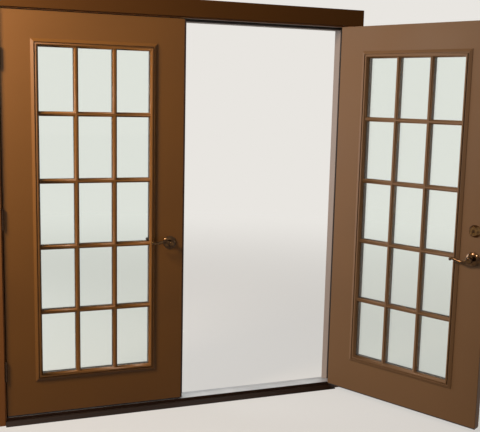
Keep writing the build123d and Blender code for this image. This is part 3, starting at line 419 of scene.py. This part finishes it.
def cast_brass(name, color, dark, roughness):
    """Cast brass under lacquer: a warm metal that has browned in clouds, with a thin clear gloss.

    The tarnish lies in clouds of about 14 mm. The polishing lines are under a tenth of a
    millimetre apart on a real lever, drawn at 0.8 mm so that they show.
    """
    material = plain_material(name, Metallic=1.0, Coat_Weight=0.22, Coat_Roughness=0.06)
    clouds = pattern(material, 14)
    polish = pattern(material, 0.8, stretch=(1, 1, 0.2))
    return textured(
        material,
        color=(clouds, color, dark),
        roughness=(clouds, roughness - 0.04, roughness + 0.08),
        relief=(polish, 0.02, 0.3),
    )


def plated_steel(name, color):
    """Brass-plated steel, brushed along its length: a pale yellow metal, dulled by handling.

    The brush lines are about a tenth of a millimetre apart on a real plate, drawn at 0.9 mm so
    that they show. The marks of handling are about 14 mm across.
    """
    material = plain_material(name, Metallic=1.0)
    brushed = pattern(material, 0.9, stretch=(1, 1, 0.04))
    marks = pattern(material, 14, detail=3)
    return textured(
        material,
        color=(marks, shade(color, 0.75), color),
        roughness=(brushed, 0.26, 0.46),
        relief=(brushed, 0.02, 0.3),
    )


FINISHES = {}


def make_finishes(colors):
    """Every finish of the doors, by the name that the pieces ask for."""
    FINISHES.update({
        # Painted shade: the leaves' pale paint as a warm brown indoors and a cooler brown outdoors
        "indoor enamel": satin_enamel("indoor_shaded_enamel", colors.indoor_shaded_paint),
        "outdoor enamel": satin_enamel(
            "outdoor_shaded_enamel", colors.outdoor_shaded_paint, roughness=0.6
        ),
        # Painted light: the sunlit pale copy of the paint
        "jamb enamel": satin_enamel("sunlit_pale_jamb_enamel", colors.jamb_sunlit_paint, roughness=0.5),
        # Painted shade: the casings' and the head board's browns
        "casing enamel": satin_enamel("casing_shaded_enamel", colors.casing_shaded_paint, roughness=0.5),
        "head board enamel": satin_enamel(
            "head_board_shaded_enamel", colors.head_board_shaded_paint, roughness=0.65, reflection=0.1
        ),
        "astragal enamel": satin_enamel(
            "dark_astragal_enamel", colors.astragal_paint, roughness=0.4
        ),
        "primed wood": satin_enamel("primed_wood", linear("#9C9286"), roughness=0.75),
        "oak": stained_oak("stained_oak", colors.oak_dark, colors.oak_light),
        "aluminium": extruded_aluminium("mill_aluminium", linear("#CFD1D3")),
        # A dark copy of the aluminium: painted shade on the saddle's faces that don't look up
        "bronze aluminium": extruded_aluminium("shaded_dark_aluminium", linear("#2B1C15")),
        "spacer": extruded_aluminium("bronze_anodised_spacer", linear("#5E4E42")),
        "composite": wood_composite("sill_composite", linear("#5C5046")),
        "vinyl": soft_vinyl("black_vinyl", linear("#171210")),
        "glass": float_glass("float_glass", linear("#F8FCFA")),
        # Dark partly from age, partly a painted dark reflection of dim surroundings
        "brass": cast_brass("aged_lacquered_brass", colors.brass, colors.tarnish, 0.16),
        "rubbed brass": cast_brass("rubbed_brass", linear("#76562F"), linear("#432D15"), 0.22),
        "hinge brass": cast_brass(
            "antique_hinge_brass", colors.hinge_brass, linear("#2A1A0F"), 0.32
        ),
        "plated steel": plated_steel("brass_plated_steel", linear("#8E7850")),
    })


# Working on meshes

# Corners nearer than this are one, and faces that turn less than this are one flat face
SAME_CORNER = 0.001 * MM
SAME_FLAT = radians(0.2)

# An edge that turns more than SHARP_EDGE is eased, and one that turns more than CREASE stays sharp
SHARP_EDGE = radians(28)
CREASE = radians(35)

# How square to a direction a face is, as a cosine, when it is flat to it, or half turned to it
FLAT_TO = 0.9
TURNED_TO = 0.5


def only(*pieces):
    """Leave just these objects selected, and the first active."""
    bpy.ops.object.select_all(action="DESELECT")
    for piece in pieces:
        piece.select_set(True)
    bpy.context.view_layer.objects.active = pieces[0]


def modify(piece, kind, **settings):
    """Add a modifier and apply it."""
    only(piece)
    modifier = piece.modifiers.new(kind.lower(), kind)
    for name, value in settings.items():
        setattr(modifier, name, value)
    bpy.ops.object.modifier_apply(modifier=modifier.name)


def merged_copy(node):
    """A copy of a node's mesh with its corners merged and its flat faces whole."""
    piece = bpy.data.objects.new(node + "_finished", NODES[node].data.copy())
    bpy.context.scene.collection.objects.link(piece)
    only(piece)
    bpy.ops.object.mode_set(mode="EDIT")
    bpy.ops.mesh.select_all(action="SELECT")
    bpy.ops.mesh.remove_doubles(threshold=SAME_CORNER)
    bpy.ops.mesh.dissolve_limited(angle_limit=SAME_FLAT)
    bpy.ops.object.mode_set(mode="OBJECT")
    return piece


def ease_edges(piece, width, shortest):
    """Round the sharp edges longer than shortest a little, as sanding and paint do."""
    mesh = bmesh.new()
    mesh.from_mesh(piece.data)
    weight = mesh.edges.layers.float.new("bevel_weight_edge")
    for edge in mesh.edges:
        if len(edge.link_faces) == 2 and edge.calc_length() > shortest:
            edge[weight] = float(edge.calc_face_angle() > SHARP_EDGE)
    mesh.to_mesh(piece.data)
    mesh.free()
    modify(
        piece, "BEVEL", width=width, segments=2, limit_method="WEIGHT", use_clamp_overlap=False
    )
    modify(piece, "TRIANGULATE")


def smooth(piece):
    """Shade smooth but for creases, and keep the large flat faces flat."""
    only(piece)
    bpy.ops.object.shade_smooth_by_angle(angle=CREASE)
    modify(piece, "WEIGHTED_NORMAL", keep_sharp=True, weight=100)


def coat(data, *finishes):
    """Give a mesh its finishes in place of what it has."""
    data.materials.clear()
    for name in finishes:
        data.materials.append(FINISHES[name])


def finish(piece, node, *finishes):
    """Give a piece its finishes and let it stand for its node."""
    coat(piece.data, *finishes)
    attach(piece, BODY_OF[node])
    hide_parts(node)


def dressed(node, edge, *finishes, shortest=None):
    """A node's finished copy, with its edges eased where edge isn't 0.

    Edges under 4 times the easing's width are left, or under shortest where that is given.
    """
    piece = merged_copy(node)
    if edge:
        ease_edges(piece, edge, shortest or 4 * edge)
    smooth(piece)
    finish(piece, node, *finishes)
    return piece


def second_finish(piece, direction, least):
    """Give the second finish to the faces that look in a direction."""
    for face in piece.data.polygons:
        face.material_index = int(face.normal.dot(direction) > least)


def box_round(points):
    """The lowest and highest corners of the box round some points."""
    return [Vector([pick(point[i] for point in points) for i in range(3)]) for pick in (min, max)]


def islands(piece):
    """The corners of the box round each separate part of a mesh."""
    mesh = bmesh.new()
    mesh.from_mesh(piece.data)
    found = set()
    boxes = []
    for start in mesh.verts:
        if start in found:
            continue
        part = {start}
        waiting = [start]
        while waiting:
            for edge in waiting.pop().link_edges:
                for vertex in edge.verts:
                    if vertex not in part:
                        part.add(vertex)
                        waiting.append(vertex)
        found |= part
        boxes.append(box_round([vertex.co for vertex in part]))
    mesh.free()
    return boxes


def joined(pieces):
    """Several objects made one, which keeps the first one's name."""
    only(*pieces)
    if len(pieces) > 1:
        bpy.ops.object.join()
    return pieces[0]


def box_between(low, high):
    """A box with these two corners, its place in its mesh."""
    bpy.ops.object.select_all(action="DESELECT")
    bpy.ops.mesh.primitive_cube_add(size=1, location=(high + low) / 2, scale=high - low)
    bpy.ops.object.transform_apply(location=True, rotation=True, scale=True)
    return bpy.context.active_object


# Screws, which look along X with the right leaf shut

# A slot of the cross recess reaches this share of the screw's radius
RECESS_REACH = 0.62

# A plate screw's head: its thickness, how far its middle lies under the plate's face, and the
# steps of its low dome, each by a share of the radius inwards and a rise
HEAD_SIDES = 40
HEAD_THICKNESS = 0.8 * MM
HEAD_SUNK = 0.35 * MM
HEAD_STEPS = ((0.12, 0.14 * MM), (0.3, 0.1 * MM))


def cross_recesses(piece, radius, middles):
    """Cut a cross recess at the middle of each screw."""
    sizes = bpy.context.scene.french_door_sizes
    reach = RECESS_REACH * radius
    half = sizes.recess_width / 2
    for along_y, along_z in ((reach, half), (half, reach)):
        around = Vector((sizes.recess_depth, along_y, along_z))
        slots = joined([box_between(middle - around, middle + around) for middle in middles])
        modify(piece, "BOOLEAN", object=slots, operation="DIFFERENCE", solver="EXACT")
        bpy.data.objects.remove(slots)


def screws_of(box, facing, reaches):
    """A plate's screws at these heights from its middle, each a middle and the way it faces."""
    low, high = box
    middle = (low + high) / 2
    face = high.x if facing > 0 else low.x
    return [(Vector((face, middle.y, middle.z + reach)), facing) for reach in reaches]


def recessed(node, finish_name, radius, facing, reaches=(0,), mirrored=False):
    """Finish a node's plates or screws, cut the recesses and give back where the screws are.

    The screws face one way along X. Where they are mirrored, those left of the doorway's middle
    face the other way.
    """
    piece = merged_copy(node)
    if BODY_OF[node] == "right_leaf":
        piece.data.transform(SHUT)
    screws = []
    for box in islands(piece):
        turned = mirrored and box[0].x < 0
        screws += screws_of(box, -facing if turned else facing, reaches)
    cross_recesses(piece, radius, [middle for middle, way in screws])
    if BODY_OF[node] == "right_leaf":
        piece.data.transform(OPENED)
    smooth(piece)
    finish(piece, node, finish_name)
    return screws


def screw_head(radius):
    """One screw's low dome, facing up at the origin, its rim sunk a little."""
    bpy.ops.object.select_all(action="DESELECT")
    bpy.ops.mesh.primitive_cylinder_add(
        vertices=HEAD_SIDES, radius=radius, depth=HEAD_THICKNESS, location=(0, 0, -HEAD_SUNK)
    )
    head = bpy.context.active_object
    bpy.ops.object.transform_apply(location=True, rotation=True, scale=True)
    bpy.ops.object.mode_set(mode="EDIT")
    mesh = bmesh.from_edit_mesh(head.data)
    for face in mesh.faces:
        face.select_set(face.normal.dot(UP) > FLAT_TO)
    mesh.select_flush_mode()
    bmesh.update_edit_mesh(head.data)
    for share, rise in HEAD_STEPS:
        bpy.ops.mesh.inset(thickness=share * radius, depth=rise)
    bpy.ops.object.mode_set(mode="OBJECT")
    return head


def screw_heads(name, node, radius, screws):
    """The heads of the screws in a node's plates: one is made, and each screw gets a copy."""
    first = screw_head(radius)
    heads = []
    for middle, facing in screws:
        head = bpy.data.objects.new(name, first.data.copy())
        bpy.context.scene.collection.objects.link(head)
        head.data.transform(Matrix.Translation(middle) @ Matrix.Rotation(facing * pi / 2, 4, "Y"))
        heads.append(head)
    bpy.data.objects.remove(first)
    piece = joined(heads)
    cross_recesses(piece, radius, [middle for middle, facing in screws])
    if BODY_OF[node] == "right_leaf":
        piece.data.transform(OPENED)
    smooth(piece)
    coat(piece.data, "hinge brass")
    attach(piece, BODY_OF[node])


# Operators, one for each group of pieces


class FrenchDoorOperator:
    """What every operator here has in common."""

    bl_options = {"REGISTER", "UNDO"}


class DOORS_OT_leaves(FrenchDoorOperator, bpy.types.Operator):
    """Paint both leaves, indoors and outdoors"""

    bl_idname = "doors.leaves"
    bl_label = "Leaves"

    def execute(self, context):
        edge = context.scene.french_door_sizes.board_edge
        for node, outward in (
            ("left_slab", OUTDOORS), ("right_slab", OPENED.to_3x3() @ OUTDOORS),
        ):
            # Both enamels are painted shade on the leaves' pale paint: warm brown on the faces indoors, a cooler
            # brown on the faces looking outdoors
            slab = dressed(node, edge, "indoor enamel", "outdoor enamel")
            second_finish(slab, outward, FLAT_TO)
        return {"FINISHED"}


class DOORS_OT_lite_frames(FrenchDoorOperator, bpy.types.Operator):
    """Finish the moulded lite frames with their glazing bars"""

    bl_idname = "doors.lite_frames"
    bl_label = "Lite frames"

    def execute(self, context):
        edge = context.scene.french_door_sizes.lite_frame_edge
        # The short edges where bars and mouldings meet stay as they are
        shortest = 20 * MM
        for leaf in ("left", "right"):
            for side in ("inner", "outer"):
                # The lite frames take the same painted shade as the leaves
                enamel = "indoor enamel" if side == "inner" else "outdoor enamel"
                dressed(f"{leaf}_{side}_lite_frame", edge, enamel, shortest=shortest)
        return {"FINISHED"}


class DOORS_OT_glazing(FrenchDoorOperator, bpy.types.Operator):
    """Glaze both leaves"""

    bl_idname = "doors.glazing"
    bl_label = "Glazing"

    def execute(self, context):
        for leaf in ("left", "right"):
            coat(NODES[f"{leaf}_glass_panes"].data, "glass")
            coat(NODES[f"{leaf}_glass_spacer"].data, "spacer")
            coat(NODES[f"{leaf}_glazing_tape"].data, "vinyl")
        return {"FINISHED"}


class DOORS_OT_frame(FrenchDoorOperator, bpy.types.Operator):
    """Paint the jambs and head: painted light in the rebate and outdoors, painted shade indoors"""

    bl_idname = "doors.frame"
    bl_label = "Jambs and head"

    def execute(self, context):
        edge = context.scene.french_door_sizes.board_edge
        for node in ("left_jamb", "right_jamb", "head_jamb"):
            # The faces in the rebate and outdoors get the sunlit pale copy, painted light; the faces indoors get
            # the shaded brown copy, painted shade
            jamb = dressed(node, edge, "jamb enamel", "casing enamel")
            second_finish(jamb, INDOORS, TURNED_TO)
        return {"FINISHED"}


class DOORS_OT_trim(FrenchDoorOperator, bpy.types.Operator):
    """Finish the casings indoors and the brick moulds outdoors"""

    bl_idname = "doors.trim"
    bl_label = "Casings and brick moulds"

    def execute(self, context):
        sizes = context.scene.french_door_sizes
        for side in ("left", "right", "head"):
            # The casings' brown and the head board's darker brown are painted shade on the trim's pale paint
            enamel = "head board enamel" if side == "head" else "casing enamel"
            casing = dressed(f"{side}_casing", sizes.casing_edge, enamel, "primed wood")
            second_finish(casing, OUTDOORS, TURNED_TO)
            # The brick moulds get the sunlit pale copy, painted light
            dressed(f"{side}_brick_mould", sizes.board_edge, "jamb enamel")
        return {"FINISHED"}


class DOORS_OT_sill(FrenchDoorOperator, bpy.types.Operator):
    """Finish the sill and the oak nosing before it"""

    bl_idname = "doors.sill"
    bl_label = "Sill"

    def execute(self, context):
        sizes = context.scene.french_door_sizes
        dressed("sill_base", sizes.sill_edge, "composite")
        dressed("sill_tread", sizes.metal_edge, "aluminium")
        # The saddle's faces that look up are mill aluminium; its other faces get a dark copy, painted shade
        saddle = dressed("sill_cap", sizes.sill_edge, "bronze aluminium", "aluminium")
        second_finish(saddle, UP, FLAT_TO)
        dressed("floor_nosing", sizes.nosing_edge, "oak")
        return {"FINISHED"}


class DOORS_OT_seals(FrenchDoorOperator, bpy.types.Operator):
    """Finish the weatherstrips, the sweeps and the astragal's seal"""

    bl_idname = "doors.seals"
    bl_label = "Seals"

    def execute(self, context):
        for node in (
            "left_weatherstrip", "right_weatherstrip", "head_weatherstrip",
            "left_sweep", "right_sweep", "astragal_seal",
        ):
            dressed(node, 0, "vinyl")
        return {"FINISHED"}


class DOORS_OT_astragal(FrenchDoorOperator, bpy.types.Operator):
    """Finish the astragal with the bolts and strikes let into it"""

    bl_idname = "doors.astragal"
    bl_label = "Astragal"

    def execute(self, context):
        sizes = context.scene.french_door_sizes
        dressed("astragal", sizes.astragal_edge, "astragal enamel")
        for node in ("head_bolt_strike", "top_flush_bolt", "bottom_flush_bolt"):
            dressed(node, sizes.metal_edge, "plated steel")
        radius = sizes.plate_screw_radius
        screws = []
        for node, reach in (
            ("strike_plates", sizes.strike_reach), ("flush_bolt_plates", sizes.bolt_plate_reach),
        ):
            screws += recessed(node, "plated steel", radius, 1, (-reach, reach))
        screw_heads("astragal_plate_screws", "strike_plates", radius, screws)
        return {"FINISHED"}


class DOORS_OT_hinges(FrenchDoorOperator, bpy.types.Operator):
    """Finish the hinges, their pins and screws"""

    bl_idname = "doors.hinges"
    bl_label = "Hinges"

    def execute(self, context):
        sizes = context.scene.french_door_sizes
        for side in ("left", "right"):
            dressed(f"{side}_jamb_hinge_halves", sizes.hinge_edge, "hinge brass")
            dressed(f"{side}_leaf_hinge_halves", sizes.hinge_edge, "hinge brass")
            dressed(f"{side}_hinge_pins", 0, "hinge brass")
        # A jamb's screws face the doorway's middle, and a leaf's face away from it
        for node, outward in (
            ("jamb_hinge_screws", -1), ("left_leaf_hinge_screws", 1),
            ("right_leaf_hinge_screws", 1),
        ):
            recessed(node, "hinge brass", sizes.hinge_screw_radius, outward, mirrored=True)
        return {"FINISHED"}


class DOORS_OT_locks(FrenchDoorOperator, bpy.types.Operator):
    """Finish the lever sets, the latch and the deadbolt"""

    bl_idname = "doors.locks"
    bl_label = "Locks"

    def execute(self, context):
        sizes = context.scene.french_door_sizes
        for node in (
            "left_lever_roses", "right_lever_roses", "left_inner_lever", "left_outer_lever",
            "right_inner_lever", "right_outer_lever", "key_plug", "thumb_turn",
        ):
            dressed(node, 0, "brass")
        for node in ("deadbolt_collar", "thumb_turn_rose"):
            # A round rim is made of short edges, which are eased too
            dressed(node, sizes.rose_edge, "rubbed brass", shortest=0.5 * MM)
        for node in ("latch_bolt", "deadbolt_bar"):
            dressed(node, sizes.metal_edge, "plated steel")
        radius = sizes.plate_screw_radius
        reach = sizes.face_plate_reach
        screws = []
        for node in ("latch_case", "deadbolt_case"):
            screws += recessed(node, "plated steel", radius, -1, (-reach, reach))
        screw_heads("face_plate_screws", "latch_case", radius, screws)
        return {"FINISHED"}


class DOORS_OT_stage(FrenchDoorOperator, bpy.types.Operator):
    """Set the camera, the lights, the floor and the backdrop"""

    bl_idname = "doors.stage"
    bl_label = "Stage"

    def execute(self, context):
        make_camera(context.scene.french_door_stage)
        make_floor()
        make_lights()
        make_surroundings()
        return {"FINISHED"}


# The stage, in metres

SENSOR_WIDTH_MM = 36.0
FARTHEST_SEEN = 60.0

PALE = linear("#E9E6E1")
FLOOR_SPAN = 30
# The floor glows a little as it is seen, and fades into the backdrop from near to far
FLOOR_NEAR = 2.0
FLOOR_FAR = 7.0
FLOOR_GLOW = 0.7
FLOOR_COLORS = linear("#BFBBB5"), linear("#C9C5BF")
# The colour of what the floor throws back onto the doors, and the surround's light on them
FLOOR_UNSEEN = linear("#3A2A20")
DIM_LIGHT = {"Color": linear("#FFF2E6"), "Strength": 0.12}

# Each lamp's name, place, aim, width, power in watts and colour
LAMPS = (
    ("key", (-2.2, -0.85, 2.5), (0.2, -0.1, 1.2), 0.6, 102, "#FFE9D2"),
    ("fill", (0.2, -5.5, 2.6), (0.3, 0, 1.0), 3.0, 8, "#FFF4EA"),
    ("outdoors", (-2.3, 2.3, 1.3), (0.8, 0, 0.9), 1.8, 105, "#EEF4FF"),
    ("glints", (-2.1, -3.1, 2.5), (0, 0, 1.0), 0.5, 60, "#FFF6EE"),
)


def make_camera(stage):
    """The camera, at the photograph's viewing angle."""
    data = bpy.data.cameras.new("camera")
    data.sensor_fit = "HORIZONTAL"
    data.sensor_width = SENSOR_WIDTH_MM
    data.lens = stage.lens
    data.clip_end = FARTHEST_SEEN
    camera = bpy.data.objects.new("camera", data)
    bpy.context.scene.collection.objects.link(camera)
    turn = (
        Matrix.Rotation(-stage.pan, 4, "Z")
        @ Matrix.Rotation(pi / 2 - stage.tilt, 4, "X")
        @ Matrix.Rotation(stage.roll, 4, "Z")
    )
    camera.matrix_world = Matrix.Translation(Vector(stage.camera_place)) @ turn
    bpy.context.scene.camera = camera


def seen_directly(tree):
    """1 where a ray comes straight from the camera, through glass or off metal, else 0."""
    path = add_node(tree, "ShaderNodeLightPath")
    seen = path.outputs["Is Camera Ray"]
    for kind in ("Is Transmission Ray", "Is Glossy Ray"):
        either = add_node(
            tree, "ShaderNodeMath", {0: seen, 1: path.outputs[kind]}, operation="MAXIMUM"
        )
        seen = either.outputs["Value"]
    return seen


def make_floor():
    """A plain pale floor that takes the doors' shadow and runs out into the backdrop.

    It is pale only as it is seen, so that little light comes up from it onto the doors.
    """
    bpy.ops.object.select_all(action="DESELECT")
    bpy.ops.mesh.primitive_plane_add(size=FLOOR_SPAN, location=(0, 0, 0))
    floor = bpy.context.active_object
    floor.name = "floor"
    material = plain_material("pale_floor", Roughness=0.8)
    tree = material.node_tree
    shader = shader_of(material)
    seen = seen_directly(tree)
    speckled = add_node(
        tree, "ShaderNodeMix",
        {
            "Factor": pattern(material, 900),
            FIRST_COLOR: FLOOR_COLORS[0], SECOND_COLOR: FLOOR_COLORS[1],
        },
        data_type="RGBA",
    )
    color = add_node(
        tree, "ShaderNodeMix",
        {
            "Factor": seen,
            FIRST_COLOR: FLOOR_UNSEEN, SECOND_COLOR: speckled.outputs[MIXED_COLOR],
        },
        data_type="RGBA",
    )
    tree.links.new(color.outputs[MIXED_COLOR], shader.inputs["Base Color"])
    glow = add_node(tree, "ShaderNodeEmission", {"Color": PALE, "Strength": 1.0})
    point = add_node(tree, "ShaderNodeTexCoord").outputs["Object"]
    distance = add_node(tree, "ShaderNodeVectorMath", {0: point}, operation="LENGTH")
    faded = add_node(
        tree, "ShaderNodeMapRange",
        {
            "Value": distance.outputs["Value"], "From Min": FLOOR_NEAR, "From Max": FLOOR_FAR,
            "To Min": FLOOR_GLOW, "To Max": 1.0,
        },
        interpolation_type="SMOOTHSTEP",
    )
    share = add_node(
        tree, "ShaderNodeMath", {0: seen, 1: faded.outputs["Result"]}, operation="MULTIPLY"
    )
    mixed = add_node(tree, "ShaderNodeMixShader", {
        0: share.outputs["Value"], 1: shader.outputs[0], 2: glow.outputs[0],
    })
    tree.links.new(mixed.outputs[0], tree.nodes["Material Output"].inputs["Surface"])
    floor.data.materials.append(material)


def make_lights():
    """A soft warm key from the left, a wide fill, a cool light from outdoors, and a lamp that
    shows only as a glint on metal and enamel.
    """
    for name, where, aim, width, power, color in LAMPS:
        data = bpy.data.lights.new(name, "AREA")
        data.size = width
        data.energy = power
        data.color = linear(color)[:3]
        lamp = bpy.data.objects.new(name, data)
        lamp.visible_camera = False
        lamp.visible_transmission = False
        lamp.visible_diffuse = name != "glints"
        bpy.context.scene.collection.objects.link(lamp)
        turn = (Vector(aim) - Vector(where)).to_track_quat("-Z", "Y").to_matrix().to_4x4()
        lamp.matrix_world = Matrix.Translation(where) @ turn


def make_surroundings():
    """An even surround: dim as light on the doors, pale where it is seen."""
    world = bpy.data.worlds.new("surroundings")
    bpy.context.scene.world = world
    world.use_nodes = True
    tree = world.node_tree
    tree.nodes.clear()
    dim = add_node(tree, "ShaderNodeBackground", DIM_LIGHT)
    pale = add_node(tree, "ShaderNodeBackground", {"Color": PALE, "Strength": 1.0})
    mixed = add_node(tree, "ShaderNodeMixShader", {
        0: seen_directly(tree), 1: dim.outputs[0], 2: pale.outputs[0],
    })
    add_node(tree, "ShaderNodeOutputWorld", {"Surface": mixed.outputs[0]})
    bpy.context.scene.view_settings.view_transform = "Standard"


OPERATORS = (
    DOORS_OT_leaves,
    DOORS_OT_lite_frames,
    DOORS_OT_glazing,
    DOORS_OT_frame,
    DOORS_OT_trim,
    DOORS_OT_sill,
    DOORS_OT_seals,
    DOORS_OT_astragal,
    DOORS_OT_hinges,
    DOORS_OT_locks,
    DOORS_OT_stage,
)


class DOORS_PT_sidebar(bpy.types.Panel):
    """Lists what can be set on the doors, and the operators."""

    bl_idname = "DOORS_PT_sidebar"
    bl_label = "French doors"
    bl_space_type = "VIEW_3D"
    bl_region_type = "UI"
    bl_category = "Doors"

    def draw(self, context):
        scene = context.scene
        for group in (scene.french_door_colors, scene.french_door_sizes, scene.french_door_stage):
            for name in group.bl_rna.properties.keys():
                if name not in ("rna_type", "name"):
                    self.layout.prop(group, name)
        for operator in OPERATORS:
            self.layout.operator(operator.bl_idname)


PROPERTY_GROUPS = {
    "french_door_colors": FrenchDoorColors,
    "french_door_sizes": FrenchDoorSizes,
    "french_door_stage": FrenchDoorStage,
}
CLASSES = (*PROPERTY_GROUPS.values(), *OPERATORS, DOORS_PT_sidebar)


def register():
    """Register the classes and the scene's properties."""
    for item in CLASSES:
        bpy.utils.register_class(item)
    for name, group in PROPERTY_GROUPS.items():
        setattr(bpy.types.Scene, name, bpy.props.PointerProperty(type=group))


def unregister():
    """Take the classes and properties out again."""
    for name in PROPERTY_GROUPS:
        delattr(bpy.types.Scene, name)
    for item in reversed(CLASSES):
        bpy.utils.unregister_class(item)


def main():
    """Dress the whole part."""
    register()
    make_finishes(bpy.context.scene.french_door_colors)
    for operator in OPERATORS:
        group, name = operator.bl_idname.split(".")
        getattr(getattr(bpy.ops, group), name)()


if __name__ == "__main__":
    main()
